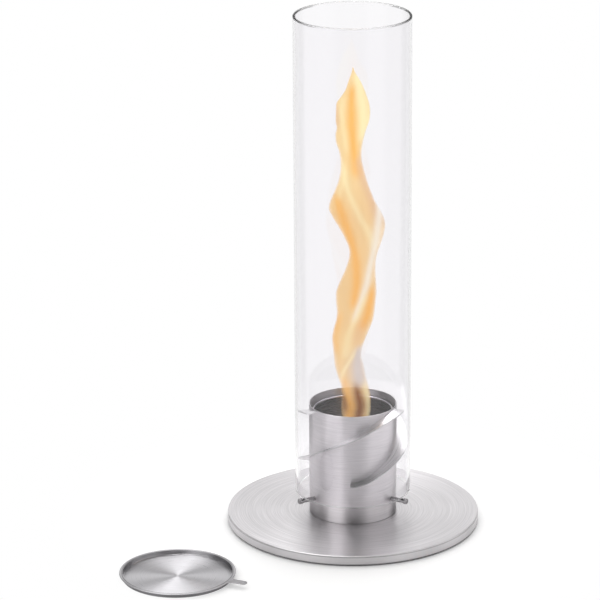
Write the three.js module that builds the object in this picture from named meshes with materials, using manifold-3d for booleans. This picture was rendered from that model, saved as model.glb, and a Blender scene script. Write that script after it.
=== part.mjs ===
// A tabletop bioethanol fireplace: a steel burner tube on a round base plate, under a tall
// open glass cylinder. Three spiral vanes round the tube turn the air that enters below the
// glass, so that the flame twists. The snuffer lid lies on the table beside the base.
//
// Millimetres, +Z up. The origin is the centre of the anti-slip mat's underside, which is the
// table's surface. The front is -Y, and angles round the axis start there and grow towards +X.

import * as THREE from 'three';
import { mergeVertices } from 'three/addons/utils/BufferGeometryUtils.js';
import Module from 'manifold-3d';

const wasm = await Module();
wasm.setup();

// ---- Driving dimensions ----

const SEAT_GAP = 0.3; // clearance wherever two pieces sit against each other
const STATIONS = 3; // vanes, rest pins and base screws, evenly spaced round the axis

const MAT_THICK = 2.2;
const MAT_PROUD = 0.7; // how far the mat stands out of the plate's underside
const MAT_EDGE = 12.7; // rim of the plate left round the mat's recess

const PLATE_R = 131;
const PLATE_THICK = 10;
const PLATE_CHAMFER = 0.8;

const TUBE_R = 45.5;
const TUBE_WALL = 1;
const TUBE_H = 118.7;
const FLOOR_THICK = 6;

const SCREW_INSET = 16.5; // base screws from the inside of the tube
const SCREW_R = 2.5;
const SCREW_HEAD_R = 4.6;
const SCREW_BITE = 4; // length of thread in the tube's floor
const SCREW_TIP_ROOM = 0.6; // blind hole beyond the screw's end
const SOCKET_R = 1.7; // hexagon socket, centre to corner
const SOCKET_DEPTH = 2;
const HEAD_SINK = 0.2; // the screw heads lie this far below the recess ceiling

const CAN_ROOM = 3.5; // between the can and the inside of the tube
const CAN_WALL = 0.8;
const CAN_BEAD_R = 0.85; // rolled bead round the can's mouth
const CAN_RIM_DROP = 7; // can mouth below the tube's rim
const CAN_FOOT_R = 3; // rounding between the can's wall and floor
const WOOL_DROP = 35; // top of the absorber below the can's mouth

const VANE_START_DEG = -3; // angle of the first vane's foot
const VANE_SPAN_DEG = 190;
const VANE_FOOT_Z = 46.2; // height of a vane's foot above the plate
const VANE_TOP_DROP = 0.8; // vane end below the tube's rim
const VANE_WIDTH = 11.4;
const VANE_THICK = 1;
const VANE_CORNER_R = 4.5; // rounding of the two outer corners
const VANE_EASE_IN = 0.13; // share of the span in which the climb reaches its steady slope
const VANE_EASE_OUT = 0.23; // share of the span in which it levels out again
const VANE_START_SLOPE = 0.2; // slope at the foot, as a share of the steady slope
const VANE_END_SLOPE = 0.1; // slope at the rim, as a share of the steady slope

const PIN_ANGLE_DEG = 60; // first rest pin
const PIN_HEIGHT = 20.4; // pin axis above the plate
const PIN_R = 2.3;
const PIN_HEAD_R = 3;
const PIN_HEAD_LENGTH = 4;
const PIN_HEAD_ROOM = 1; // between the glass and the pin heads
const PIN_THREAD_R = 1.5;
const NUT_FLATS = 5.5; // across flats
const NUT_THICK = 1.8;

const GLASS_WALL = 2.5;
const GLASS_H = 508;
const VANE_GLASS_GAP = 0.3; // vane edges to the inside of the glass

const LID_SHEET = 0.8;
const LID_H = 5.5;
const LID_GLASS_OVERLAP = 1.3; // how far the flange reaches over the glass wall
const LID_FIT = 1.2; // between the dish and the inside of the glass
const LID_BEND_R = 1.5; // inner rounding between the lid's floor and wall
const LID_X = -176.5;
const LID_Y = -157;
const TAB_WIDTH = 8.6;
const TAB_LENGTH = 18;
const TAB_ANGLE_DEG = 67; // from the front towards +X
const TAB_ROOT_R = 4; // rounding where the tab leaves the flange

// Facets
const ROUND_STEPS = 72;
const SMALL_STEPS = 18;
const ARC_STEPS = 4;
const VANE_STEPS = 38; // between the rounded corners
const CORNER_STEPS = 4;

// ---- Sizes that follow ----

const STATION_DEG = 360 / STATIONS;

const MAT_R = PLATE_R - MAT_EDGE - SEAT_GAP;
const RECESS_R = MAT_R + SEAT_GAP;
const PLATE_BOTTOM = MAT_PROUD;
const PLATE_TOP = PLATE_BOTTOM + PLATE_THICK;
const RECESS_TOP = MAT_THICK + SEAT_GAP;

const TUBE_INNER_R = TUBE_R - TUBE_WALL;
const SCREW_RING_R = TUBE_INNER_R - SCREW_INSET;
const TUBE_BOTTOM = PLATE_TOP + SEAT_GAP;
const TUBE_TOP = TUBE_BOTTOM + TUBE_H;
const FLOOR_TOP = TUBE_BOTTOM + FLOOR_THICK;

const CAN_BOTTOM = FLOOR_TOP + SEAT_GAP;
const CAN_TOP = TUBE_TOP - CAN_RIM_DROP;
const CAN_R = TUBE_INNER_R - CAN_ROOM;
const CAN_INNER_R = CAN_R - CAN_WALL;

const VANE_INNER_R = TUBE_R + SEAT_GAP;
const VANE_OUTER_R = VANE_INNER_R + VANE_WIDTH;
const VANE_FOOT = PLATE_TOP + VANE_FOOT_Z;
const VANE_CLIMB = TUBE_TOP - VANE_TOP_DROP - VANE_FOOT;

const PIN_Z = PLATE_TOP + PIN_HEIGHT;
const GLASS_BOTTOM = PIN_Z + PIN_R + SEAT_GAP;
const GLASS_TOP = GLASS_BOTTOM + GLASS_H;
const GLASS_INNER_R = VANE_OUTER_R + VANE_GLASS_GAP;
const GLASS_R = GLASS_INNER_R + GLASS_WALL;
const PIN_HEAD_START = GLASS_R + PIN_HEAD_ROOM;

const FLANGE_R = GLASS_INNER_R + LID_GLASS_OVERLAP;
const DISH_R = GLASS_INNER_R - LID_FIT;

// ---- Materials ----

const steel = (color, roughness) => new THREE.MeshStandardMaterial({ color, roughness, metalness: 1 });
const plateSteel = steel(0xb9b6b8, 0.32);
const tubeSteel = steel(0xb5b0b4, 0.36);
const vaneSteel = steel(0xc2c0c2, 0.3);
const canSteel = steel(0x8c8a8c, 0.35);
const lidSteel = steel(0xc0bec2, 0.3);
const hardwareSteel = steel(0xa5a5a8, 0.4);
const matRubber = new THREE.MeshStandardMaterial({ color: 0x1d1d1f, roughness: 0.9 });
const wool = new THREE.MeshStandardMaterial({ color: 0xd8d4cc, roughness: 1 });
const clearGlass = new THREE.MeshStandardMaterial({
  color: 0xeef2f2,
  roughness: 0.05,
  transparent: true,
  opacity: 0.25,
});

// ---- Tools for shapes ----

/** Points of an arc in a profile, from one angle to another in degrees, ends included. */
function arc(centreR, centreZ, radius, fromDeg, toDeg, steps = ARC_STEPS) {
  const points = [];
  for (let i = 0; i <= steps; i += 1) {
    const angle = THREE.MathUtils.degToRad(fromDeg + ((toDeg - fromDeg) * i) / steps);
    points.push([centreR + radius * Math.cos(angle), centreZ + radius * Math.sin(angle)]);
  }
  return points;
}

/** A copy of the geometry with shared corners welded and empty triangles left out. */
function weld(geometry) {
  const bare = geometry.clone();
  bare.deleteAttribute('normal');
  bare.deleteAttribute('uv');
  const welded = mergeVertices(bare);
  const corners = [];
  for (let i = 0; i < welded.index.count; i += 3) {
    const [a, b, c] = [0, 1, 2].map((k) => welded.index.getX(i + k));
    if (a !== b && b !== c && c !== a) corners.push(a, b, c);
  }
  welded.setIndex(corners);
  welded.computeVertexNormals();
  return welded;
}

/** Turns a profile of [radius, height] points, listed with the solid on their left, round Z. */
function turned(profile, steps = ROUND_STEPS) {
  const points = profile.map(([radius, height]) => new THREE.Vector2(radius, height));
  if (points[0].x > 0) points.push(points[0].clone());
  return weld(new THREE.LatheGeometry(points, steps).rotateX(Math.PI / 2));
}

/** A plate of the outline's shape, standing on z = 0. */
function extruded(outline, depth) {
  const options = { depth, bevelEnabled: false, curveSegments: 2 * ARC_STEPS };
  return weld(new THREE.ExtrudeGeometry(outline, options));
}

function solidOf(geometry) {
  const vertProperties = Float32Array.from(geometry.attributes.position.array);
  const triVerts = Uint32Array.from(geometry.index.array);
  return new wasm.Manifold(new wasm.Mesh({ numProp: 3, vertProperties, triVerts }));
}

function geometryOf(solid) {
  const { vertProperties, triVerts } = solid.getMesh();
  const geometry = new THREE.BufferGeometry();
  geometry.setAttribute('position', new THREE.BufferAttribute(vertProperties, 3));
  geometry.setIndex(new THREE.BufferAttribute(triVerts, 1));
  geometry.computeVertexNormals();
  return geometry;
}

/** The body with each of the tools cut out of it. */
function cut(body, tools) {
  const solids = tools.map(solidOf);
  return geometryOf(solids.reduce((rest, tool) => rest.subtract(tool), solidOf(body)));
}

/** A point on a circle round the axis; degrees start at the front and grow towards +X. */
function around(radius, degrees, z) {
  const angle = THREE.MathUtils.degToRad(degrees);
  return new THREE.Vector3(radius * Math.sin(angle), -radius * Math.cos(angle), z);
}

function piece(name, geometry, material) {
  const mesh = new THREE.Mesh(geometry, material);
  mesh.name = name;
  return mesh;
}

/** One group for each station, turned to its place, holding what make(number) returns. */
function atStations(make) {
  return Array.from({ length: STATIONS }, (_, index) => {
    const station = new THREE.Group();
    station.rotation.z = THREE.MathUtils.degToRad(index * STATION_DEG);
    station.add(...make(index + 1));
    return station;
  });
}

/** A group whose +X points outwards from the axis at the given angle. */
function radialGroup(degrees, z, ...pieces) {
  const group = new THREE.Group();
  group.rotation.z = THREE.MathUtils.degToRad(degrees) - Math.PI / 2;
  group.position.z = z;
  group.add(...pieces);
  return group;
}

// ---- Base: mat, plate and screws ----

function antiSlipMat() {
  const profile = [[0, 0], [MAT_R, 0], [MAT_R, MAT_THICK], [0, MAT_THICK]];
  return piece('anti_slip_mat', turned(profile), matRubber);
}

/** Screw outline on the Z axis, with the head's flat face at z = 0 and its thread upwards. */
function screwProfile(clearance, reach) {
  const coneTop = SCREW_HEAD_R - SCREW_R;
  const headR = SCREW_HEAD_R + clearance;
  const shankR = SCREW_R + clearance;
  return [[0, 0], [headR, 0], [shankR, coneTop], [shankR, reach], [0, reach]];
}

const SCREW_HEAD_Z = RECESS_TOP + HEAD_SINK;
const SCREW_REACH = TUBE_BOTTOM + SCREW_BITE - SCREW_HEAD_Z;

/** The clearance holes for the base screws, from below the heads to past their ends. */
function screwHoles() {
  const mouth = turned([[0, -HEAD_SINK], [SCREW_HEAD_R + SEAT_GAP, -HEAD_SINK],
    [SCREW_HEAD_R + SEAT_GAP, 0], [0, 0]], SMALL_STEPS);
  const bore = turned(screwProfile(SEAT_GAP, SCREW_REACH + SCREW_TIP_ROOM), SMALL_STEPS);
  const hole = geometryOf(solidOf(bore).add(solidOf(mouth)));
  return Array.from({ length: STATIONS }, (_, index) => {
    const { x, y } = around(SCREW_RING_R, index * STATION_DEG, 0);
    return hole.clone().translate(x, y, SCREW_HEAD_Z);
  });
}

function basePlate() {
  const profile = [
    [0, RECESS_TOP],
    [RECESS_R, RECESS_TOP],
    [RECESS_R, PLATE_BOTTOM],
    [PLATE_R - PLATE_CHAMFER, PLATE_BOTTOM],
    [PLATE_R, PLATE_BOTTOM + PLATE_CHAMFER],
    [PLATE_R, PLATE_TOP - PLATE_CHAMFER],
    [PLATE_R - PLATE_CHAMFER, PLATE_TOP],
    [0, PLATE_TOP],
  ];
  return piece('base_plate', cut(turned(profile), screwHoles()), plateSteel);
}

function baseScrew(number) {
  const socket = new THREE.CylinderGeometry(SOCKET_R, SOCKET_R, 2 * SOCKET_DEPTH, 6);
  const blank = turned(screwProfile(0, SCREW_REACH), SMALL_STEPS);
  const geometry = cut(blank, [weld(socket.rotateX(Math.PI / 2))]);
  const screw = piece(`base_screw_${number}`, geometry, hardwareSteel);
  screw.position.copy(around(SCREW_RING_R, 0, SCREW_HEAD_Z));
  return screw;
}

// ---- Burner: tube, floor, vanes, can and absorber ----

/** Round cutters along the pins' axes, through the tube's wall. */
function pinHoles() {
  return Array.from({ length: STATIONS }, (_, index) => {
    const radius = PIN_THREAD_R + SEAT_GAP;
    const length = TUBE_R - CAN_R;
    const cutter = new THREE.CylinderGeometry(radius, radius, 2 * length, SMALL_STEPS);
    const degrees = PIN_ANGLE_DEG + index * STATION_DEG;
    const { x, y, z } = around(TUBE_R, degrees, PIN_Z);
    return weld(cutter.rotateZ(THREE.MathUtils.degToRad(degrees)).translate(x, y, z));
  });
}

function burnerTube() {
  const profile = [
    [TUBE_INNER_R, TUBE_BOTTOM],
    [TUBE_R, TUBE_BOTTOM],
    ...arc(TUBE_R - TUBE_WALL / 2, TUBE_TOP - TUBE_WALL / 2, TUBE_WALL / 2, 0, 180),
  ];
  return piece('burner_tube', cut(turned(profile), pinHoles()), tubeSteel);
}

function tubeFloor() {
  const outer = TUBE_INNER_R - SEAT_GAP;
  const profile = [[0, TUBE_BOTTOM], [outer, TUBE_BOTTOM], [outer, FLOOR_TOP], [0, FLOOR_TOP]];
  return piece('tube_floor', cut(turned(profile), screwHoles()), hardwareSteel);
}

/**
 * Share of the vane's climb reached at a share of its span. The slope grows evenly to the
 * steady one, stays, and falls evenly at the end, so the climb is the area under a trapezium.
 */
function vaneClimb(share) {
  const area = (upTo) => {
    const rise = Math.min(upTo, VANE_EASE_IN);
    const fall = Math.max(0, upTo - 1 + VANE_EASE_OUT);
    const lostAtFoot = (1 - VANE_START_SLOPE) * (rise - (rise * rise) / (2 * VANE_EASE_IN));
    const lostAtRim = ((1 - VANE_END_SLOPE) * fall * fall) / (2 * VANE_EASE_OUT);
    return upTo - lostAtFoot - lostAtRim;
  };
  return area(share) / area(1);
}

/** Distances along the vane's outer edge, close together where a corner is rounded. */
function vaneStops(length) {
  const cornerStop = (i) => VANE_CORNER_R * (1 - Math.cos((i * Math.PI) / (2 * CORNER_STEPS)));
  const corner = Array.from({ length: CORNER_STEPS }, (_, i) => cornerStop(i));
  const straight = length - 2 * VANE_CORNER_R;
  const middle = Array.from({ length: VANE_STEPS + 1 }, (_, i) => (
    VANE_CORNER_R + (straight * i) / VANE_STEPS));
  return [...corner, ...middle, ...corner.map((stop) => length - stop).reverse()];
}

/** A flat-ruled spiral strip: every cross-section is a level rectangle pointing outwards. */
function vaneGeometry() {
  const length = THREE.MathUtils.degToRad(VANE_SPAN_DEG) * VANE_OUTER_R;
  const positions = [];
  const corners = [];
  const stops = vaneStops(length);
  stops.forEach((stop, index) => {
    const share = stop / length;
    const fromCorner = Math.max(0, VANE_CORNER_R - Math.min(stop, length - stop));
    const cutBack = VANE_CORNER_R - Math.sqrt(VANE_CORNER_R ** 2 - fromCorner ** 2);
    const outer = VANE_OUTER_R - cutBack;
    const degrees = VANE_START_DEG + share * VANE_SPAN_DEG;
    const top = VANE_FOOT + VANE_CLIMB * vaneClimb(share);
    const section = [[VANE_INNER_R, top - VANE_THICK], [outer, top - VANE_THICK],
      [outer, top], [VANE_INNER_R, top]];
    section.forEach(([radius, z]) => positions.push(...around(radius, degrees, z).toArray()));
    if (index === stops.length - 1) return;
    const here = 4 * index;
    for (let side = 0; side < 4; side += 1) {
      const next = (side + 1) % 4;
      corners.push(here + side, here + side + 4, here + next + 4);
      corners.push(here + side, here + next + 4, here + next);
    }
  });
  const last = 4 * (stops.length - 1);
  corners.push(0, 1, 2, 0, 2, 3);
  corners.push(last, last + 2, last + 1, last, last + 3, last + 2);
  const geometry = new THREE.BufferGeometry();
  geometry.setAttribute('position', new THREE.Float32BufferAttribute(positions, 3));
  geometry.setIndex(corners);
  geometry.computeVertexNormals();
  return geometry;
}

/** A drawn can, open at the top, with a rolled bead round its mouth. */
function fuelCan() {
  const beadR = CAN_INNER_R + CAN_BEAD_R;
  const beadZ = CAN_TOP - CAN_BEAD_R;
  const outerBend = arc(CAN_R - CAN_FOOT_R, CAN_BOTTOM + CAN_FOOT_R, CAN_FOOT_R, -90, 0);
  const innerBend = arc(CAN_R - CAN_FOOT_R, CAN_BOTTOM + CAN_FOOT_R, CAN_FOOT_R - CAN_WALL, 0, -90);
  const profile = [
    [0, CAN_BOTTOM],
    ...outerBend,
    ...arc(beadR, beadZ, CAN_BEAD_R, -80, 180, 2 * ARC_STEPS),
    ...innerBend,
    [0, CAN_BOTTOM + CAN_WALL],
  ];
  return piece('fuel_can', turned(profile), canSteel);
}

function woolAbsorber() {
  const outer = CAN_INNER_R - SEAT_GAP;
  const bottom = CAN_BOTTOM + CAN_WALL + SEAT_GAP;
  const top = CAN_TOP - WOOL_DROP;
  const profile = [
    [0, bottom],
    ...arc(outer - CAN_FOOT_R, bottom + CAN_FOOT_R, CAN_FOOT_R, -90, 0),
    [outer, top],
    [0, top],
  ];
  return piece('wool_absorber', turned(profile), wool);
}

// ---- Rest pins that carry the glass ----

/** A pin along +X: thread through the tube's wall, shank under the glass, head outside it. */
function restPin(number) {
  const shoulder = TUBE_R + SEAT_GAP;
  const end = PIN_HEAD_START + PIN_HEAD_LENGTH;
  const edge = PIN_HEAD_R / 3;
  const profile = [
    [0, nutInnerFace()],
    [PIN_THREAD_R, nutInnerFace()],
    [PIN_THREAD_R, shoulder],
    [PIN_R, shoulder],
    [PIN_R, PIN_HEAD_START],
    [PIN_HEAD_R, PIN_HEAD_START],
    ...arc(PIN_HEAD_R - edge, end - edge, edge, 0, 90),
    [0, end],
  ];
  const pin = piece(`rest_pin_${number}`, turned(profile, SMALL_STEPS), tubeSteel);
  pin.rotation.y = Math.PI / 2;
  return pin;
}

/** Distance from the axis to the nut's outer face, which its corners set in the round tube. */
function nutOuterFace() {
  const corner = NUT_FLATS / Math.sqrt(3);
  return Math.sqrt(TUBE_INNER_R ** 2 - corner ** 2) - SEAT_GAP;
}

function nutInnerFace() {
  return nutOuterFace() - NUT_THICK;
}

function pinNut(number) {
  const corner = NUT_FLATS / Math.sqrt(3);
  const hexagon = Array.from({ length: 6 }, (_, i) => {
    const angle = (i * Math.PI) / 3;
    return new THREE.Vector2(corner * Math.cos(angle), corner * Math.sin(angle));
  });
  const outline = new THREE.Shape(hexagon);
  outline.holes.push(new THREE.Path().absarc(0, 0, PIN_THREAD_R + SEAT_GAP, 0, 2 * Math.PI, true));
  const nut = piece(`pin_nut_${number}`, extruded(outline, NUT_THICK), hardwareSteel);
  nut.rotation.y = Math.PI / 2;
  nut.position.x = nutInnerFace();
  return nut;
}

// ---- Glass ----

/** The open cylinder, with both rims melted round. */
function glassCylinder() {
  const half = GLASS_WALL / 2;
  const middle = GLASS_R - half;
  const profile = [
    ...arc(middle, GLASS_BOTTOM + half, half, -180, 0),
    ...arc(middle, GLASS_TOP - half, half, 0, 180),
  ];
  return piece('glass_cylinder', turned(profile), clearGlass);
}

// ---- Snuffer lid ----

/** The tab's outline along +X from the lid's centre: rounded roots and a half-round end. */
function tabOutline() {
  const half = TAB_WIDTH / 2;
  const tip = FLANGE_R + TAB_LENGTH - half;
  const rootX = Math.sqrt((FLANGE_R + TAB_ROOT_R) ** 2 - (half + TAB_ROOT_R) ** 2);
  const spread = Math.atan2(half + TAB_ROOT_R, rootX);
  const foot = new THREE.Vector2(FLANGE_R * Math.cos(spread), FLANGE_R * Math.sin(spread));
  const inside = FLANGE_R - LID_GLASS_OVERLAP;
  const outline = new THREE.Shape();
  outline.moveTo(inside, -half);
  outline.lineTo(foot.x, -foot.y);
  outline.absarc(rootX, -half - TAB_ROOT_R, TAB_ROOT_R, Math.PI - spread, Math.PI / 2, true);
  outline.lineTo(tip, -half);
  outline.absarc(tip, 0, half, -Math.PI / 2, Math.PI / 2, false);
  outline.absarc(rootX, half + TAB_ROOT_R, TAB_ROOT_R, -Math.PI / 2, Math.PI + spread, true);
  outline.lineTo(inside, half);
  outline.closePath();
  return outline;
}

/** The lid is one sheet: a shallow dish with a flange, and a tab that carries on from it. */
function snufferLid() {
  const wall = DISH_R - LID_SHEET;
  const floorBend = arc(wall - LID_BEND_R, LID_SHEET + LID_BEND_R, LID_BEND_R, 0, -90);
  const footBend = arc(wall - LID_BEND_R, LID_SHEET + LID_BEND_R, LID_BEND_R + LID_SHEET, -90, 0);
  const profile = [
    [0, 0],
    ...footBend,
    [DISH_R, LID_H - LID_SHEET],
    [FLANGE_R, LID_H - LID_SHEET],
    [FLANGE_R, LID_H],
    [wall, LID_H],
    ...floorBend,
    [0, LID_SHEET],
  ];
  const tab = extruded(tabOutline(), LID_SHEET).translate(0, 0, LID_H - LID_SHEET);
  tab.rotateZ(THREE.MathUtils.degToRad(TAB_ANGLE_DEG) - Math.PI / 2);
  const lid = piece('snuffer_lid', geometryOf(solidOf(turned(profile)).add(solidOf(tab))), lidSteel);
  lid.position.set(LID_X, LID_Y, 0);
  return lid;
}

// ---- The whole object ----

const vane = vaneGeometry();
const fireplace = new THREE.Group();
fireplace.add(antiSlipMat(), basePlate(), burnerTube(), tubeFloor(), fuelCan(), woolAbsorber());
fireplace.add(glassCylinder(), snufferLid());
fireplace.add(...atStations((number) => [
  baseScrew(number),
  piece(`air_vane_${number}`, vane, vaneSteel),
  radialGroup(PIN_ANGLE_DEG, PIN_Z, restPin(number), pinNut(number)),
]));

export default fireplace;
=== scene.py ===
"""Looks for a tabletop bioethanol fireplace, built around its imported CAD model.

Everything is in metres, +Z up, with the table at z = 0 and the burner's axis on Z. The front is -Y.
Angles round the axis start at the front and grow towards +X, as in the CAD source.
"""

import math

import bpy
import numpy as np
from bpy.props import FloatProperty, FloatVectorProperty, IntProperty, PointerProperty
from mathutils import Matrix, Vector


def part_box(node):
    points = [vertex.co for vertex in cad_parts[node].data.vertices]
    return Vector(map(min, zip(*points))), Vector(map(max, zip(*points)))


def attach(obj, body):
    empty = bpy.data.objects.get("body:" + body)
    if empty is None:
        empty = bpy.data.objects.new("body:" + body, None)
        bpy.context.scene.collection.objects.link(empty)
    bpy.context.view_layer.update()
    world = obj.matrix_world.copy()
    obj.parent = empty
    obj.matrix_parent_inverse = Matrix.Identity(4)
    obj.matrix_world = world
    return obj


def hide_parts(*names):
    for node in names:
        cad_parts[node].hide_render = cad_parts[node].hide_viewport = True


bl_info = {
    "name": "Bioethanol fireplace",
    "version": (1, 0, 0),
    "blender": (4, 5, 0),
    "location": "View3D > Sidebar > Fireplace",
    "description": "Finishes a tabletop burner with spiral air vanes under a glass cylinder",
    "category": "Add Mesh",
}

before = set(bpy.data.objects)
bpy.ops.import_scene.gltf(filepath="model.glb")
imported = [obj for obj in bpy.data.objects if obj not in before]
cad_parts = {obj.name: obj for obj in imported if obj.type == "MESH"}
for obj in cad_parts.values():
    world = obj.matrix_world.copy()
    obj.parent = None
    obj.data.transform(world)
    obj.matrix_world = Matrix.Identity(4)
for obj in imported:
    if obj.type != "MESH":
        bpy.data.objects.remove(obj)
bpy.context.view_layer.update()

MM = 0.001
DEGREES = 180 / math.pi
TURN_STEPS = 192
BEND_STEPS = 8
SMOOTH_ANGLE = math.radians(32)
# A profile point nearer to the axis than this is on it.
ON_AXIS = 1e-7
# The kind of input that a Geometry Nodes tree gets for a value.
INPUT_KINDS = {
    float: "Float", int: "Int", bpy.types.Object: "Object", bpy.types.Material: "Material"
}


# ---- Sizes and names read from the CAD nodes ----


def radius_of(node):
    low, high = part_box(node)
    return (high.x - low.x) / 2


def ends_of(node):
    """The heights of a node's bottom and top."""
    low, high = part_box(node)
    return low.z, high.z


def numbered(node):
    """The three CAD nodes that share a name."""
    return [f"{node}_{number}" for number in (1, 2, 3)]


# ---- Values that a user may change ----


def number(name, description, default, **kind):
    return FloatProperty(name=name, description=description, default=default, **kind)


def length(name, description, default):
    return number(name, description, default, min=0, subtype="DISTANCE", unit="LENGTH")


def angle(name, description, degrees):
    return number(name, description, math.radians(degrees), subtype="ANGLE", unit="ROTATION")


def share(name, description, default, most=1.0):
    return number(name, description, default, min=0, max=most, subtype="FACTOR")


def level(name, description, default):
    return number(name, description, default, min=0)


def colour(name, description, default):
    return FloatVectorProperty(
        name=name, description=description, default=default, size=3, min=0, max=1, subtype="COLOR"
    )


class BaseSizes(bpy.types.PropertyGroup):
    plate_radius: length("Plate radius", "Outside of the base plate", radius_of("base_plate"))
    plate_edge: length("Plate edge", "Rounding of the plate's two edges", 0.8 * MM)
    recess_radius: length("Recess radius", "Recess for the mat under the plate", 118.3 * MM)
    recess_top: length("Recess ceiling", "Height of the recess above the table", 2.5 * MM)


class BurnerSizes(bpy.types.PropertyGroup):
    tube_radius: length("Tube radius", "Outside of the burner tube", radius_of("burner_tube"))
    tube_wall: length("Tube wall", "Thickness of the tube's sheet", 1.0 * MM)
    can_radius: length("Can radius", "Outside of the fuel can's wall", 41.0 * MM)
    can_wall: length("Can wall", "Thickness of the can's sheet", 0.8 * MM)
    can_bead: length("Can bead", "Radius of the rolled bead round the can's mouth", 0.85 * MM)
    can_foot: length("Can foot", "Rounding between the can's wall and floor", 3.0 * MM)


class VaneSizes(bpy.types.PropertyGroup):
    copies: IntProperty(name="Vanes", description="Vanes round the tube", default=3, min=1)
    start: angle("Foot angle", "Where the first vane's foot stands", -3)
    span: angle("Span", "How far a vane goes round the tube", 190)
    foot: length("Foot height", "Top of a vane at its foot, above the table", 56.9 * MM)
    climb: length("Climb", "How much higher a vane ends than it starts", 72.0 * MM)
    outer: length("Outer radius", "Outside of the vanes", 57.2 * MM)
    thick: length("Thickness", "Thickness of the vane's sheet", 1.0 * MM)
    corner: length("Corner radius", "Rounding of the outer corners", 4.5 * MM)
    ease_in: share("Ease in", "Share of the span in which the slope grows", 0.13)
    ease_out: share("Ease out", "Share of the span in which the slope falls", 0.23)
    start_slope: share("Slope at the foot", "As a share of the steady slope", 0.2)
    end_slope: share("Slope at the rim", "As a share of the steady slope", 0.1)


class PinSizes(bpy.types.PropertyGroup):
    copies: IntProperty(name="Pins", description="Pins that carry the glass", default=3, min=1)
    start: angle("First pin", "Where the first pin stands", 60)
    height: length("Pin height", "Pin axis above the table", 31.1 * MM)
    radius: length("Pin radius", "Radius of the shank", 2.3 * MM)
    head_radius: length("Head radius", "Radius of the head", 3.0 * MM)
    head_from: length("Head start", "Inner end of the head, from the burner's axis", 61.0 * MM)
    head_to: length("Head end", "Outer end of the head, from the burner's axis", 65.0 * MM)


class GlassSizes(bpy.types.PropertyGroup):
    radius: length("Glass radius", "Outside of the glass", radius_of("glass_cylinder"))
    wall: length("Glass wall", "Thickness of the glass", 2.5 * MM)


class LidSizes(bpy.types.PropertyGroup):
    centre_x: number("Lid X", "Centre of the lid", -0.1765, unit="LENGTH")
    centre_y: number("Lid Y", "Centre of the lid", -0.157, unit="LENGTH")
    flange: length("Flange radius", "Outside of the flange", 58.8 * MM)
    dish: length("Dish radius", "Outside of the dish's wall", 56.3 * MM)
    sheet: length("Sheet", "Thickness of the lid's sheet", 0.8 * MM)
    bend: length("Bend", "Inner rounding between the floor and the wall", 1.5 * MM)
    tab_width: length("Tab width", "Width of the finger tab", 8.6 * MM)
    tab_length: length("Tab length", "Length of the tab beyond the flange", 18.0 * MM)
    tab_root: length("Tab root", "Rounding where the tab leaves the flange", 4.0 * MM)
    tab_angle: angle("Tab angle", "From the front towards +X", 67)


class Finishes(bpy.types.PropertyGroup):
    plate: colour("Plate steel", "Brushed plate", (0.76, 0.74, 0.755))
    tube: colour("Tube steel", "Brushed tube, a little warmer", (0.78, 0.75, 0.77))
    vane: colour("Vane steel", "Bright satin sheet", (0.87, 0.86, 0.87))
    pin: colour("Pin steel", "Rest pins, turned and bare", (0.42, 0.41, 0.42))
    can: colour("Can steel", "Drawn sheet, darkened by heat", (0.25, 0.24, 0.26))
    # A painted highlight: the can's lip is painted this many times brighter than its wall.
    can_lip: share("Can lip", "How much brighter the lip is than the can's wall", 3.8, most=4.0)
    lid: colour("Lid steel", "Brushed lid", (0.61, 0.60, 0.62))
    hardware: colour("Hardware steel", "Screws, nuts and floor disc", (0.55, 0.55, 0.57))
    rubber: colour("Mat rubber", "Anti-slip mat", (0.035, 0.035, 0.037))
    wool: colour("Ceramic wool", "Absorber in the can", (0.50, 0.485, 0.46))
    flame_body: colour("Flame body", "Pale orange of the flame", (0.88, 0.585, 0.275))
    flame_core: colour("Flame core", "Deep orange where it burns thickest", (0.93, 0.45, 0.085))
    flame_char: colour("Flame char", "Brown between the strands at the root", (0.27, 0.085, 0.015))
    flame_cream: colour("Flame cream", "Cream where the sheets fold", (0.97, 0.80, 0.45))
    flame_pale: colour("Flame pale", "Almost white streaks", (0.93, 0.85, 0.72))
    flame_dusk: colour("Flame dusk", "Tan where the gas cools", (0.75, 0.45, 0.27))
    flame_ash: colour("Flame ash", "Grey haze above the root", (0.64, 0.55, 0.51))


class Studio(bpy.types.PropertyGroup):
    ambient: level("Ambient", "Light from all round", 0.78)
    from_behind: share("From behind", "How much more ambient light the backdrop gives", 0.9)
    key_power: level("Key lamp", "Large lamp at the front left, in watts", 5.0)
    top_power: level("Top lamp", "Large lamp overhead and behind, in watts", 14.0)
    floor: level("Floor", "Brightness of the floor's colour for light that bounces", 0.8)
    floor_seen: level("Floor as seen", "Brightness of the floor's colour to the camera", 1.18)
    overhead: level("Overhead", "Strip light from front to back overhead", 3.0)
    room: level("Room", "The unlit room all round", 0.28)
    front: level("Front", "The dark room behind the camera", 0.04)
    key_panel: level("Key panel", "Panel at the front left", 1.5)
    right_panel: level("Right panel", "Panel on the right", 1.15)
    backdrop: level("Backdrop", "Backdrop low behind the object", 1.0)


# ---- Node trees written as sums ----


def operator(operation):
    """What an operator does with a value on its left, and with one on its right."""
    return (
        lambda value, other: value.recipe.maths(operation, value, other),
        lambda value, other: value.recipe.maths(operation, other, value),
    )


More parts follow.
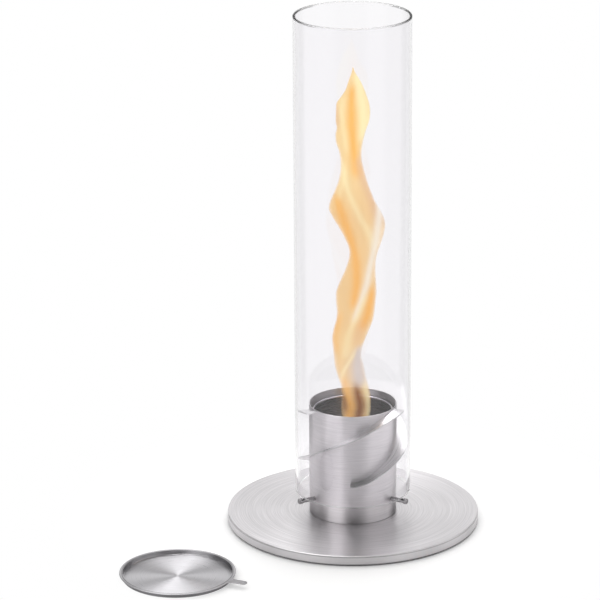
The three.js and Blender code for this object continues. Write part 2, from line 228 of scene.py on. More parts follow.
class Value:
    """A socket that takes part in sums written in Python."""

    def __init__(self, recipe, socket):
        self.recipe = recipe
        self.socket = socket

    __add__, __radd__ = operator("ADD")
    __sub__, __rsub__ = operator("SUBTRACT")
    __mul__, __rmul__ = operator("MULTIPLY")
    __truediv__, __rtruediv__ = operator("DIVIDE")

    def __neg__(self):
        return self * -1

    def __abs__(self):
        return self.recipe.maths("ABSOLUTE", self)

    def between(self, low, high):
        """0 at low and 1 at high, with a smooth step between; low may be above high."""
        sockets = {"Value": self, "From Min": low, "From Max": high}
        kind = "ShaderNodeMapRange"
        return self.recipe.node(kind, sockets, interpolation_type="SMOOTHSTEP").out(0)

    def within(self, low, high, soft):
        """1 between low and high, and 0 outside, over a soft edge."""
        return self.between(low - soft, low + soft) * self.between(high + soft, high - soft)


class Made:
    """A node that has been made, with its outputs as values."""

    def __init__(self, recipe, node):
        self.recipe = recipe
        self.node = node

    def out(self, key):
        return Value(self.recipe, self.node.outputs[key])


class Recipe:
    """One node tree, built a node at a time."""

    def __init__(self, tree):
        self.tree = tree
        tree.nodes.clear()

    def node(self, kind, sockets=None, **settings):
        """A new node. Its settings are set first, as they can change which sockets it has."""
        made = self.tree.nodes.new(kind)
        for key, value in settings.items():
            setattr(made, key, value)
        for key, value in (sockets or {}).items():
            self.feed(made.inputs[key], value)
        return Made(self, made)

    def feed(self, socket, value):
        if isinstance(value, Made):
            value = value.out(0)
        if isinstance(value, Value):
            self.tree.links.new(value.socket, socket)
        elif socket.type == "RGBA" and len(value) == 3:
            socket.default_value = (*value, 1)
        else:
            socket.default_value = value

    def maths(self, operation, *values):
        return self.node("ShaderNodeMath", dict(enumerate(values)), operation=operation).out(0)

    def vector(self, x, y, z):
        return self.node("ShaderNodeCombineXYZ", {0: x, 1: y, 2: z}).out(0)

    def split(self, value):
        made = self.node("ShaderNodeSeparateXYZ", {0: value})
        return made.out(0), made.out(1), made.out(2)

    def place(self, space="Object"):
        return self.node("ShaderNodeTexCoord").out(space)

    def noise(self, vector, scale=1.0, detail=2.0, roughness=0.5):
        sockets = {"Vector": vector, "Scale": scale, "Detail": detail, "Roughness": roughness}
        return self.node("ShaderNodeTexNoise", sockets).out("Fac")

    def scaled(self, tint, brightness):
        sockets = {0: tint, "Scale": brightness}
        return self.node("ShaderNodeVectorMath", sockets, operation="SCALE").out(0)

    def finish(self, shader):
        self.node("ShaderNodeOutputMaterial", {"Surface": shader})


def material(name):
    made = bpy.data.materials.new(name)
    made.use_nodes = True
    return made, Recipe(made.node_tree)


# ---- Meshes ----


def arc(centre, radius, from_deg, to_deg, steps=BEND_STEPS):
    angles = np.radians(np.linspace(from_deg, to_deg, steps + 1))
    return [(centre[0] + radius * math.cos(a), centre[1] + radius * math.sin(a)) for a in angles]


def held(profile, gap=0.25 * MM):
    """The profile with points added near both ends of its long sides, which keeps them straight."""
    points = []
    closed = profile[0][0] > ON_AXIS
    for here, there in zip(profile, profile[1:] + profile[:1] if closed else profile[1:]):
        points.append(here)
        span = math.dist(here, there)
        if span > 6 * gap:
            for part in (gap / span, 1 - gap / span):
                points.append(tuple(a + (b - a) * part for a, b in zip(here, there)))
    return points if closed else [*points, profile[-1]]


def turned(name, profile, steps=TURN_STEPS, at=(0.0, 0.0)):
    """A closed body turned from [radius, height] points, listed with the solid on their left."""
    profile = held(profile)
    vertices, rings, faces = [], [], []
    angles = np.linspace(0, 2 * math.pi, steps, endpoint=False)
    for radius, z in profile:
        start = len(vertices)
        if radius < ON_AXIS:
            vertices.append((*at, z))
            rings.append([start] * steps)
        else:
            vertices += [
                (at[0] + radius * math.cos(a), at[1] + radius * math.sin(a), z) for a in angles
            ]
            rings.append(list(range(start, start + steps)))
    pairs = list(zip(rings, rings[1:]))
    if profile[0][0] > ON_AXIS:
        pairs.append((rings[-1], rings[0]))
    for inner, outer in pairs:
        for i in range(steps):
            j = (i + 1) % steps
            corners = dict.fromkeys((inner[i], inner[j], outer[j], outer[i]))
            if len(corners) > 2:
                faces.append(tuple(corners))
    mesh = bpy.data.meshes.new(name)
    mesh.from_pydata(vertices, [], faces)
    return smooth(mesh)


def smooth(mesh):
    mesh.shade_smooth()
    mesh.set_sharp_from_angle(angle=SMOOTH_ANGLE)
    return mesh


def in_scene(name, data):
    """A new object in the scene, at the origin."""
    made = bpy.data.objects.new(name, data)
    bpy.context.scene.collection.objects.link(made)
    return made


def new_piece(name, mesh, finish, body, replaced=()):
    """Puts a finished mesh in the scene on its body, in place of the CAD nodes it stands for."""
    mesh.materials.clear()
    mesh.materials.append(finish)
    piece = in_scene(name, mesh)
    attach(piece, body)
    if replaced:
        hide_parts(*replaced)


def finish_node(node, finish):
    """Gives a carried-over CAD node its finish."""
    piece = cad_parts[node]
    for slot in piece.material_slots:
        slot.material = finish
    if not piece.material_slots:
        piece.data.materials.append(finish)


def baked(source):
    """The plain mesh that an object's modifiers make."""
    graph = bpy.context.evaluated_depsgraph_get()
    mesh = bpy.data.meshes.new_from_object(source.evaluated_get(graph), depsgraph=graph)
    mesh.name = source.name
    bpy.data.objects.remove(source)
    return mesh


def grown(name, build, **values):
    """The plain mesh of a Geometry Nodes tree, which has these values as its inputs."""
    tree = bpy.data.node_groups.new(name, "GeometryNodeTree")
    tree.interface.new_socket("Geometry", in_out="OUTPUT", socket_type="NodeSocketGeometry")
    inputs = []
    for key, value in values.items():
        kind = "NodeSocket" + INPUT_KINDS[type(value)]
        socket = tree.interface.new_socket(key, in_out="INPUT", socket_type=kind)
        inputs.append((socket.identifier, value))
    recipe = Recipe(tree)
    build(recipe, recipe.node("NodeGroupInput").out)
    source = in_scene(name, bpy.data.meshes.new(name))
    modifier = source.modifiers.new(name, "NODES")
    modifier.node_group = tree
    for identifier, value in inputs:
        modifier[identifier] = value
    bpy.context.view_layer.update()
    return smooth(baked(source))


# ---- Finishes ----

# Noises that draw the brush's streaks: how fine across the brushing, per metre, how fine along
# it, per radian, and how strongly each shows. Broad patches vary the steel a little as well.
BRUSH_STREAKS = ((2600, 2.2, 2.4), (1200, 0.9, 2.0), (260, 0.0, 0.15))
BRUSH_PATCHES = (30, 1.2)
# The melted rims of the glass: their shading starts and is full this far from each end.
MELT_START = 2.4 * MM
MELT_FULL = 1.2 * MM


def round_the_axis(recipe, at=(0.0, 0.0)):
    """Distance from the axis, height, and a point on the unit circle, from Object coordinates."""
    x, y, z = recipe.split(recipe.place())
    x = x - at[0]
    y = y - at[1]
    distance = recipe.maths("SQRT", x * x + y * y)
    away = recipe.maths("MAXIMUM", distance, 1e-5)
    return distance, z, x / away, y / away


def principled(recipe, tint, shade, grain, strength, depth, others):
    """A Principled surface: a tint scaled by a shade, and a grain that also raises the surface."""
    raised = {"Strength": strength, "Distance": depth, "Height": grain}
    sockets = {
        "Base Color": recipe.scaled(tint, shade),
        "Normal": recipe.node("ShaderNodeBump", raised),
        **others,
    }
    recipe.finish(recipe.node("ShaderNodeBsdfPrincipled", sockets))


def brushed(name, tint, along, roughness, anisotropy, contrast, edges, at=(0.0, 0.0)):
    """Brushed steel. The brush went round the axis: in rings on a flat face, or level round a wall.

    Each edge is painted shade, or a painted highlight where its share is above 1: a share of the
    tint that holds on one side of a line, as ("distance" or "height", where it starts, where it is
    full, share).
    """
    made, recipe = material(name)
    distance, height, across, deep = round_the_axis(recipe, at)
    path = distance if along == "rings" else height

    def grain(fine_across, fine_along):
        place = recipe.vector(path * fine_across, across * fine_along, deep * fine_along)
        return recipe.noise(place, detail=1) - 0.5

    streak = sum(grain(*fineness) * weight for *fineness, weight in BRUSH_STREAKS)
    patch = grain(*BRUSH_PATCHES)
    shade = 1 + streak * contrast + patch * contrast * 0.4
    # Painted light and shade: each edge darkens or brightens the tint beyond its line.
    for place, start, full, painted_light_share in edges:
        reached = (distance if place == "distance" else height).between(start, full)
        shade = shade * (1 + reached * (painted_light_share - 1))
    others = {
        "Metallic": 1.0,
        "Roughness": roughness + streak * 0.08 + patch * 0.06,
        "Anisotropic": anisotropy,
        "Anisotropic Rotation": 0.25,
    }
    principled(recipe, tint, shade, streak, 0.06, 0.0003, others)
    return made


def satin(name, tint, roughness):
    """Plain stainless sheet with a fine random grain."""
    made, recipe = material(name)
    point = recipe.place()
    grain = recipe.noise(point, 900, detail=3) - 0.5
    cloud = recipe.noise(point, 60, detail=2) - 0.5
    shade = 1 + grain * 0.1 + cloud * 0.08
    others = {"Metallic": 1.0, "Roughness": roughness + cloud * 0.12}
    principled(recipe, tint, shade, grain, 0.05, 0.0002, others)
    return made


def moulded_rubber(name, tint):
    made, recipe = material(name)
    grain = recipe.noise(recipe.place(), 1600, detail=3) - 0.5
    principled(recipe, tint, 1 + grain * 0.5, grain, 0.3, 0.0003, {"Roughness": 0.85})
    return made


def mineral_wool(name, tint):
    made, recipe = material(name)
    x, y, z = recipe.split(recipe.place())
    fibres = recipe.noise(recipe.vector(x * 1400, y * 300, z * 600), detail=4, roughness=0.7)
    crossing = recipe.noise(recipe.vector(x * 300, y * 1400, z * 600), detail=4, roughness=0.7)
    tangle = fibres + crossing
    principled(recipe, tint, 0.75 + tangle * 0.3, tangle, 0.8, 0.001, {"Roughness": 0.95})
    return made


def clear_glass(name):
    """Clear glass that bends what is seen through it, and lets the lamps' light through."""
    made, recipe = material(name)
    path = recipe.node("ShaderNodeLightPath")
    _, height, _, _ = round_the_axis(recipe)
    bottom, top = ends_of("glass_cylinder")
    at_top = height.between(top - MELT_START, top - MELT_FULL)
    melted = at_top + height.between(bottom + MELT_START, bottom + MELT_FULL)
    sockets = {
        "Base Color": (0.958, 0.951, 0.964),
        "Roughness": melted * 0.35,
        "IOR": 1.47,
        "Transmission Weight": 1.0,
    }
    glass = recipe.node("ShaderNodeBsdfPrincipled", sockets)
    open_air = recipe.node("ShaderNodeBsdfTransparent", {"Color": (0.97, 0.97, 0.97)})
    lets_through = recipe.maths("MAXIMUM", path.out("Is Shadow Ray"), path.out("Is Diffuse Ray"))
    clear = recipe.maths("MAXIMUM", lets_through, melted * 0.5)
    recipe.finish(recipe.node("ShaderNodeMixShader", {0: clear, 1: glass, 2: open_air}))
    return made


def burning_gas(name):
    """Glowing gas, clear between its wisps, in the tint and density that the mesh carries."""
    made, recipe = material(name)
    made.cycles.emission_sampling = "NONE"
    tint = recipe.node("ShaderNodeAttribute", attribute_name="tint").out("Color")
    density = recipe.node("ShaderNodeAttribute", attribute_name="thickness").out("Fac")
    x, y, z = recipe.split(recipe.place())
    wisps = recipe.noise(recipe.vector(x * 120, y * 120, z * 18), detail=3)
    lit = recipe.scaled(tint, 1.04 + (wisps - 0.5) * 0.16)
    flame = recipe.node("ShaderNodeEmission", {"Color": lit, "Strength": 1.0})
    air = recipe.node("ShaderNodeBsdfTransparent")
    seen = density * (0.8 + wisps * 0.4)
    recipe.finish(recipe.node("ShaderNodeMixShader", {0: seen, 1: air, 2: flame}))
    return made


# ---- Pieces ----

# Places along a vane, and how closely they crowd to its two ends, where the corners are rounded.
VANE_STOPS = 161
VANE_CROWDING = 0.92
# How far the vanes reach into the tube's wall, so that no gap shows between them.
VANE_ROOT = 0.1 * MM


def plate_profile(sizes):
    """The plate: a recess below for the mat, and both outer edges rounded."""
    radius, edge = sizes.plate_radius, sizes.plate_edge
    bottom, top = ends_of("base_plate")
    return [
        (0, sizes.recess_top),
        (sizes.recess_radius, sizes.recess_top),
        (sizes.recess_radius, bottom),
        *arc((radius - edge, bottom + edge), edge, -90, 0),
        *arc((radius - edge, top - edge), edge, 0, 90),
        (0, top),
    ]


def tube_profile(sizes):
    outer, wall = sizes.tube_radius, sizes.tube_wall
    bottom, top = ends_of("burner_tube")
    rim = arc((outer - wall / 2, top - wall / 2), wall / 2, 0, 180)
    return [(outer - wall, bottom), (outer, bottom), *rim]


def can_profile(sizes):
    """A drawn can with a rolled bead round its mouth."""
    radius, wall, foot, bead = sizes.can_radius, sizes.can_wall, sizes.can_foot, sizes.can_bead
    bottom, top = ends_of("fuel_can")
    centre = (radius - foot, bottom + foot)
    return [
        (0, bottom),
        *arc(centre, foot, -90, 0),
        *arc((radius - wall + bead, top - bead), bead, -80, 180, 2 * BEND_STEPS),
        *arc(centre, foot - wall, 0, -90),
        (0, bottom + wall),
    ]


def glass_profile(sizes):
    half = sizes.wall / 2
    middle = sizes.radius - half
    bottom, top = ends_of("glass_cylinder")
    return [
        *arc((middle, bottom + half), half, -180, 0, 2 * BEND_STEPS),
        *arc((middle, top - half), half, 0, 180, 2 * BEND_STEPS),
    ]


def set_round(recipe, given, shape, first_angle):
    """Sets copies of a shape round the burner's axis, and makes them real and finished."""
    stations = recipe.node("GeometryNodePoints", {"Count": given("copies")})
    index = recipe.node("GeometryNodeInputIndex").out(0)
    swing = first_angle + index * (2 * math.pi) / given("copies")
    turn = {"Euler": recipe.vector(0.0, 0.0, swing)}
    facing = recipe.node("FunctionNodeEulerToRotation", turn)
    copied = {"Points": stations, "Instance": shape, "Rotation": facing}
    copies = recipe.node("GeometryNodeInstanceOnPoints", copied)
    real = recipe.node("GeometryNodeRealizeInstances", {"Geometry": copies})
    dress = {"Geometry": real, "Material": given("finish")}
    dressed = recipe.node("GeometryNodeSetMaterial", dress)
    recipe.node("NodeGroupOutput", {"Geometry": dressed})


def vane_nodes(recipe, given):
    """One vane as a ruled strip, thickened, rounded at its outer corners and set round the tube."""
    grid = {"Size X": 1.0, "Size Y": 1.0, "Vertices X": given("stops"), "Vertices Y": 5}
    strip = recipe.node("GeometryNodeMeshGrid", grid)
    along, across, _ = recipe.split(recipe.node("GeometryNodeInputPosition"))
    along = along + 0.5
    across = across + 0.5
    along = along - recipe.maths("SINE", along * (2 * math.pi)) * (VANE_CROWDING / (2 * math.pi))
    from_end = recipe.maths("MINIMUM", along, 1 - along) * (given("span") * given("outer"))
    corner, inner = given("corner"), given("inner")
    short = recipe.maths("MAXIMUM", corner - from_end, 0.0)
    left = recipe.maths("MAXIMUM", corner * corner - short * short, 0.0)
    cut_back = corner - recipe.maths("SQRT", left)
    radius = inner + across * (given("outer") - cut_back - inner)

    def climbed(part):
        """The climb over a part of the span, where a steady slope is 1."""
        ease_in, ease_out = given("ease_in"), given("ease_out")
        rise = recipe.maths("MINIMUM", part, ease_in)
        fall = recipe.maths("MAXIMUM", part - 1 + ease_out, 0.0)
        lost_at_foot = (1 - given("start_slope")) * (rise - rise * rise / (2 * ease_in))
        lost_at_rim = (1 - given("end_slope")) * fall * fall / (2 * ease_out)
        return part - lost_at_foot - lost_at_rim

    height = given("foot") + given("climb") * climbed(along) / climbed(1)
    turn = given("start") + given("span") * along
    aside, back = radius * recipe.maths("SINE", turn), -(radius * recipe.maths("COSINE", turn))
    placed = {"Geometry": strip, "Position": recipe.vector(aside, back, height)}
    bent = recipe.node("GeometryNodeSetPosition", placed)
    down = recipe.vector(0.0, 0.0, -given("thick"))
    extruded = {"Mesh": bent, "Offset": down, "Offset Scale": 1.0, "Individual": False}
    walls = recipe.node("GeometryNodeExtrudeMesh", extruded)
    joined = recipe.node("GeometryNodeJoinGeometry")
    flipped = recipe.node("GeometryNodeFlipFaces", {"Mesh": walls})
    for part in (flipped, bent):
        recipe.feed(joined.node.inputs[0], part)
    closed = {"Geometry": joined, "Distance": 1e-6}
    solid = recipe.node("GeometryNodeMergeByDistance", closed)
    set_round(recipe, given, solid, 0.0)


def ring_nodes(recipe, given):
    """Copies of one object's mesh set round the burner's axis."""
    pattern = recipe.node("GeometryNodeObjectInfo", {"Object": given("pattern")})
    set_round(recipe, given, pattern.out("Geometry"), given("start"))


def pin_mesh(sizes, inner):
    """One rest pin, lying along -Y from the tube's wall to its rounded head."""
    edge = sizes.head_radius / 3
    neck = sizes.head_radius - edge / 2
    profile = [
        (0, inner),
        (sizes.radius, inner),
        (sizes.radius, sizes.head_from),
        (neck, sizes.head_from),
        *arc((neck, sizes.head_from + edge / 2), edge / 2, -90, 0, 4),
        *arc((sizes.head_radius - edge, sizes.head_to - edge), edge, 0, 90, 6),
        (0, sizes.head_to),
    ]
    mesh = turned("rest_pins", profile, 40)
    lying = Matrix.Rotation(math.pi / 2, 4, "X")
    mesh.transform(Matrix.Translation((0, 0, sizes.height)) @ lying)
    return mesh


def lid_mesh(sizes):
    """The pressed dish with its flange, joined to the tab that carries on from the flange."""
    bottom, top = ends_of("snuffer_lid")
    sheet, bend = sizes.sheet, sizes.bend
    wall = sizes.dish - sheet
    centre = (wall - bend, sheet + bend)
    lip = sheet / 2
    profile = [
        (0, bottom),
        *arc(centre, bend + sheet, -90, 0),
        (sizes.dish, top - sheet),
        *arc((sizes.flange - lip, top - lip), lip, -90, 90, 6),
        (wall, top),
        *arc(centre, bend, 0, -90),
        (0, sheet),
    ]
    at = (sizes.centre_x, sizes.centre_y)
    dish = in_scene("lid_dish", turned("lid_dish", profile, at=at))
    tab = in_scene("lid_tab", tab_mesh(sizes, top))
    union = dish.modifiers.new("Tab", "BOOLEAN")
    union.operation = "UNION"
    union.solver = "EXACT"
    union.object = tab
    mesh = baked(dish)
    bpy.data.objects.remove(tab)
    # The brushing turns round the middle of this space, which the tab would shift.
    mesh.use_auto_texspace = False
    mesh.texspace_location = (*at, top / 2)
    mesh.texspace_size = (sizes.flange, sizes.flange, top / 2)
    return mesh


def tab_mesh(sizes, top):
    """The finger tab's outline, rounded at its root and its end, as a sheet."""
    half, root = sizes.tab_width / 2, sizes.tab_root
    tip = sizes.flange + sizes.tab_length - half
    root_x = math.sqrt((sizes.flange + root) ** 2 - (half + root) ** 2)
    spread = math.degrees(math.atan2(half + root, root_x))
    side = arc((root_x, -half - root), root, 180 - spread, 90)
    other = arc((root_x, half + root), root, -90, -180 + spread)
    end = arc((tip, 0), half, -90, 90, 16)
    outline = [(sizes.dish, side[0][1]), *side, *end, *other, (sizes.dish, other[-1][1])]
    count = len(outline)
    vertices = [(x, y, z) for z in (top - sizes.sheet, top) for x, y in outline]
    faces = [tuple(reversed(range(count))), tuple(range(count, 2 * count))]
    faces += [(i, (i + 1) % count, count + (i + 1) % count, count + i) for i in range(count)]
    mesh = bpy.data.meshes.new("lid_tab")
    mesh.from_pydata(vertices, [], faces)
    swing = Matrix.Rotation(sizes.tab_angle - math.pi / 2, 4, "Z")
    mesh.transform(Matrix.Translation((sizes.centre_x, sizes.centre_y, 0)) @ swing)
    return mesh


# Rows of the flame from its root on the wool to its tip, in millimetres: height above the table,
# centre across, half width across, centre in depth and half depth. It turns half way round in
# about a hundred millimetres, so it is deep where it is narrow.
FLAME_ROWS = (
    (88.2, 2, 6, 0, 7), (96, 3, 11, 0, 10), (120, 3.2, 15.6, 1, 12), (136, 3.7, 15, 2, 12),
    (147, 2.1, 14.5, 3, 12), (158, -1.3, 14.8, 3, 13), (169, -3.7, 15.2, 2, 14),
    (180, -5.6, 14.2, 0, 14), (191, -5.4, 15.2, -2, 13), (202, -4, 17.5, -4, 12),
    (213, -0.9, 18.7, -5, 11), (221, 2, 19, -5, 11), (230, 3.2, 19.3, -4, 11),
    (241, 3.2, 20.5, -2, 12), (250, 3.6, 21, 0, 13), (258, 5, 19.4, 2, 14),
    (271, 7.6, 15.8, 4, 16), (282, 9.7, 14, 5, 18), (291, 11.2, 14.3, 5, 19),
    (299, 11.8, 16.4, 4, 18), (310, 11.2, 20.4, 2, 16), (321, 9.4, 24.2, 0, 14),
    (329, 6.6, 26, -2, 13), (340, 1.6, 26.2, -4, 12), (348, -0.2, 23, -4, 12),
    (359, 0.1, 18.5, -4, 13), (369, 0.3, 14.6, -3, 14), (380, -0.2, 12, -1, 15),
    (390, -1.4, 10.7, 1, 16), (399, -2.2, 11.2, 2, 16), (409, -3.3, 13.8, 3, 14),
    (418, -2.4, 15.2, 3, 12), (424, -0.6, 15, 3, 11), (428, -0.4, 16.6, 2, 11),
    (433, 0.1, 17.3, 2, 10), (441, 0.6, 17.5, 1, 10), (451, 0.2, 16.8, 0, 10),
    (455, 1.2, 14.2, 0, 9), (464, 2.7, 9.8, 0, 7.5), (474, 2, 6, 0, 5),
    (482, 0.9, 1.9, 0, 1.9), (487.5, 0.4, 0.3, 0, 0.3),
)
# Streaks in the flame: a tint, how strongly it shows, and rows of height, place across and half
# width, in millimetres.
FLAME_STREAKS = (
    ("cream", 0.85, ((488, 2, 3), (482, 4, 4), (464, 8, 6), (448, 11, 7), (435, 12, 7),
                     (422, 10, 6), (405, 7, 5))),
    ("cream", 0.5, ((464, -9, 3), (447, -11, 3.5), (441, -11, 3.5), (427, -9, 3.5),
                    (414, -7, 3.5), (396, -5, 3))),
    ("dusk", 0.6, ((456, -15, 2), (441, -16, 2.5), (433, -15, 2.5), (418, -16, 2))),
    ("core", 0.95, ((476, 0, 2.5), (453, -1, 4), (441, -1, 5), (430, -1, 5.5), (418, 0, 5),
                    (405, 1, 4.5), (395, 2, 5), (384, 4, 6), (370, 8, 6))),
    ("dusk", 0.65, ((404, 9, 4), (390, 7, 5), (375, 10, 5), (359, 17, 6), (345, 22, 6),
                    (332, 27, 6), (316, 31, 5))),
    ("cream", 0.65, ((396, -11, 3), (385, -9, 3.5), (375, -8, 3.5), (363, -5, 3), (348, 1, 3),
                     (333, 8, 3.5), (320, 15, 4), (308, 20, 4), (292, 22, 4))),
    ("cream", 0.35, ((385, -7, 2.5), (369, -10, 2.5), (359, -13, 2.5), (350, -16, 2.5),
                     (336, -20, 2.5))),
    ("core", 0.85, ((362, -18, 4), (350, -15, 5), (340, -12, 6), (327, -8, 6), (312, -3, 5.5),
                    (301, 0, 5), (288, 3, 5), (273, 4, 5), (260, 4, 5), (245, 2, 5), (230, 0, 5))),
    ("pale", 0.85, ((356, 27, 3), (335, 27, 4), (322, 26, 5), (305, 24, 5), (293, 21, 4),
                    (279, 18, 4), (263, 15, 4), (247, 10, 3.5), (234, 5, 3), (216, -1, 3))),
    ("core", 0.9, ((262, 21, 3), (247, 19, 4), (239, 17, 5), (228, 15, 5), (219, 11, 5),
                   (206, 8, 5))),
    ("dusk", 0.35, ((228, 9, 6), (216, 8, 7), (205, 5, 7), (190, 1, 6))),
    ("cream", 0.6, ((256, 15, 3), (243, 11, 3), (232, 7, 3), (221, 1, 3), (208, -4, 4),
                    (195, -6, 5), (176, -9, 4))),
    ("core", 0.5, ((236, -13, 3), (228, -13, 3.5), (217, -16, 4), (204, -19, 4), (193, -18, 4),
                   (180, -16, 3))),
    ("ash", 1.0, ((200, 8, 5), (184, 6, 7), (173, 5, 9), (160, 6, 9), (150, 8, 8), (141, 9, 7))),
    ("cream", 0.8, ((196, 4, 2), (184, 0, 2), (176, -5, 2), (167, -9, 2), (158, -12, 2),
                    (146, -12, 2))),
    ("core", 0.6, ((164, -12, 4), (158, -10, 4), (147, -7, 5), (138, -6, 5), (127, -3, 5),
                   (90, -1, 5))),
    ("cream", 0.9, ((156, 12, 3), (147, 13, 3), (138, 15, 3), (129, 16, 3), (120, 17, 3),
                    (92, 15, 3))),
    ("char", 1.0, ((156, 2, 3), (145, 4, 4.5), (141, 5, 5), (135, 6.5, 6), (129, 8, 6),
                   (123, 7, 6), (116, 6, 5), (96, 4, 5))),
    ("char", 0.8, ((146, -12, 3), (138, -10, 4), (130, -8, 4), (123, -8, 4.5), (112, -10, 4))),
    ("core", 0.6, ((146, -6, 3), (134, -3, 3), (127, 0, 4), (120, -3, 4), (104, -6, 4))),
)
STREAK_FADE = 14
# How dense the flame is at a height, in millimetres: it is thin near its root.
FLAME_DENSITY = (
    (88, 0.3), (116, 0.52), (134, 0.7), (150, 0.5), (170, 0.68), (200, 1.0), (490, 1.0)
)
# Each thin sheet of the flame: how far inside the outline it lies, in millimetres, and its density.
FLAME_SHEETS = ((0.0, 0.3), (1.0, 0.42), (2.2, 0.5), (4.0, 0.5))
FLAME_LEVELS = 220
FLAME_SIDES = 56


def flame_tints(finishes, across, height):
    """The colour of the flame at points given by place across and height, in millimetres."""
    tint = np.tile(np.array(finishes.flame_body), (len(height), 1))
    for name, strength, rows in FLAME_STREAKS:
        rows = np.array(sorted(rows), float)
        place, half = (np.interp(height, rows[:, 0], rows[:, k]) for k in (1, 2))
        from_ends = np.minimum(height - rows[0, 0], rows[-1, 0] - height)
        ends = np.clip(from_ends / STREAK_FADE, 0, 1)
        weight = strength * ends * ends * (3 - 2 * ends)
        weight *= np.exp(-(((across - place) / half) ** 2))
        tint += weight[:, None] * (np.array(getattr(finishes, "flame_" + name)) - tint)
    # The root glows least. The tip glows most, and is the yellowest.
    root = np.interp(height, (125, 150), (0.72, 1.0))[:, None]
    tip = np.interp(height, (335, 385), (0.0, 1.0))[:, None]
    return tint * root * (1 + tip * np.array((0.1, 0.17, 0.16)))


def flame_mesh(finishes):
    """Closed sheets one inside the other, so that the flame is soft at its edge from every side."""
    rows = np.array(FLAME_ROWS, float)
    heights = np.linspace(rows[0, 0], rows[-1, 0], FLAME_LEVELS)
    columns = [np.interp(heights, rows[:, 0], rows[:, k]) for k in range(1, 5)]
    soft = np.array((0.25, 0.5, 0.25))
    for _ in range(2):
        columns = [np.convolve(np.pad(c, 1, mode="edge"), soft, "valid") for c in columns]
    # Towards the tip the sheets lie closer together.
    spacing = np.interp(heights, (400, 430), (1.0, 0.45))
    angles = np.linspace(0, 2 * math.pi, FLAME_SIDES, endpoint=False)
    points, faces, density = [], [], []
    for inset, sheet_density in FLAME_SHEETS:
        start = len(points)
        for z, centre, half, deep, depth, space in zip(heights, *columns, spacing):
            wide, thick = (max(size - inset * space, 0.4 * size) for size in (half, depth))
            points += [
                (centre + wide * math.cos(a), deep + thick * math.sin(a), z) for a in angles
            ]
        density += [sheet_density] * (len(points) - start)
        for row in range(start, len(points) - FLAME_SIDES, FLAME_SIDES):
            for k in range(FLAME_SIDES):
                here, there = row + k, row + (k + 1) % FLAME_SIDES
                faces.append((here, there, there + FLAME_SIDES, here + FLAME_SIDES))
        faces.append(tuple(reversed(range(start, start + FLAME_SIDES))))
        faces.append(tuple(range(len(points) - FLAME_SIDES, len(points))))
    points = np.array(points)
    tints = flame_tints(finishes, points[:, 0], points[:, 2])
    density = np.array(density) * np.interp(points[:, 2], *zip(*FLAME_DENSITY))
    mesh = bpy.data.meshes.new("flame")
    mesh.from_pydata((points * MM).tolist(), [], faces)
    layer = mesh.attributes.new("tint", "FLOAT_COLOR", "POINT")
    layer.data.foreach_set("color", np.column_stack((tints, np.ones(len(tints)))).ravel())
    layer = mesh.attributes.new("thickness", "FLOAT", "POINT")
    layer.data.foreach_set("value", density)
    mesh.shade_smooth()
    return mesh


# ---- Stage ----

# The camera fitted to the ellipses of the plate, the tube and the glass: its angles are in
# radians, with the pitch down, and its lens and sensor in millimetres.
CAMERA_PLACE = (0, -3.3217, 1.3485)
CAMERA_YAW, CAMERA_PITCH, CAMERA_ROLL = -0.0163, 0.3218, -0.0061
CAMERA_LENS, CAMERA_SENSOR = 204.4, 36
# Round lamps, by place and width, that point a little above the plate.
KEY_LAMP = ((-1.6, -1.7, 1.9), 1.4)
TOP_LAMP = ((0.2, 1.5, 2.2), 1.8)
LAMP_AIM = (0, 0, 0.1)
# Panels low round the object, in degrees from the front: start, end and half the soft edge. The
# gap is on both sides, before the backdrop.
FRONT_PANEL = (-19, 21, 8)
KEY_PANEL = (-70, -27, 10)
RIGHT_PANEL = (36, 116, 14)
DARK_GAP = (122, 150, 7)
DARK_GAP_DEPTH = 0.65
BACKDROP_EDGE = (152, 164)
# How high the low panels reach, in degrees above the horizon, and how much higher at two of them.
LOW_REACH = (22, 36)
FRONT_HIGHER, KEY_HIGHER = 24, 10
# The strip light overhead, in degrees: its middle, its edge aside, its start above the low
# panels, and where it fades towards the zenith and by how much.
STRIP_MIDDLE = -6
STRIP_EDGE = (23, 11)
STRIP_START = (32, 52)
STRIP_FADE = (66, 84)
STRIP_FADED = 0.6
# The floor is much lit, so the panels show weakly on it.
FLOOR_PANELS = {"room": 0.74, "front": 0.76, "key": 1.15, "right": 1.1, "back": 0.9}
FLOOR_HALF = 15.0
FLOOR_DROP = 0.05 * MM
# How far out the shaded floor turns plain white, and how much farther that ends in the steel.
FLOOR_FADE = (0.15, 0.31)
FLOOR_FADE_IN_STEEL = 0.11
# How strongly the glass mirrors the panels.
GLASS_SHEEN = 0.15


def make_camera(scene):
    data = bpy.data.cameras.new("camera")
    data.sensor_width = CAMERA_SENSOR
    data.lens = CAMERA_LENS
    data.clip_start, data.clip_end = 0.1, 60
    scene.camera = in_scene("camera", data)
    scene.camera.matrix_world = (
        Matrix.Translation(CAMERA_PLACE)
        @ Matrix.Rotation(-CAMERA_YAW, 4, "Z")
        @ Matrix.Rotation(math.pi / 2 - CAMERA_PITCH, 4, "X")
        @ Matrix.Rotation(CAMERA_ROLL, 4, "Z")
    )


def make_lamp(name, place, size, power):
    data = bpy.data.lights.new(name, "AREA")
    data.shape = "DISK"
    data.size = size
    data.energy = power
    lamp = in_scene(name, data)
    lamp.location = place
    aim = Vector(LAMP_AIM) - Vector(place)
    lamp.rotation_euler = aim.to_track_quat("-Z", "Y").to_euler()
    lamp.visible_glossy = False


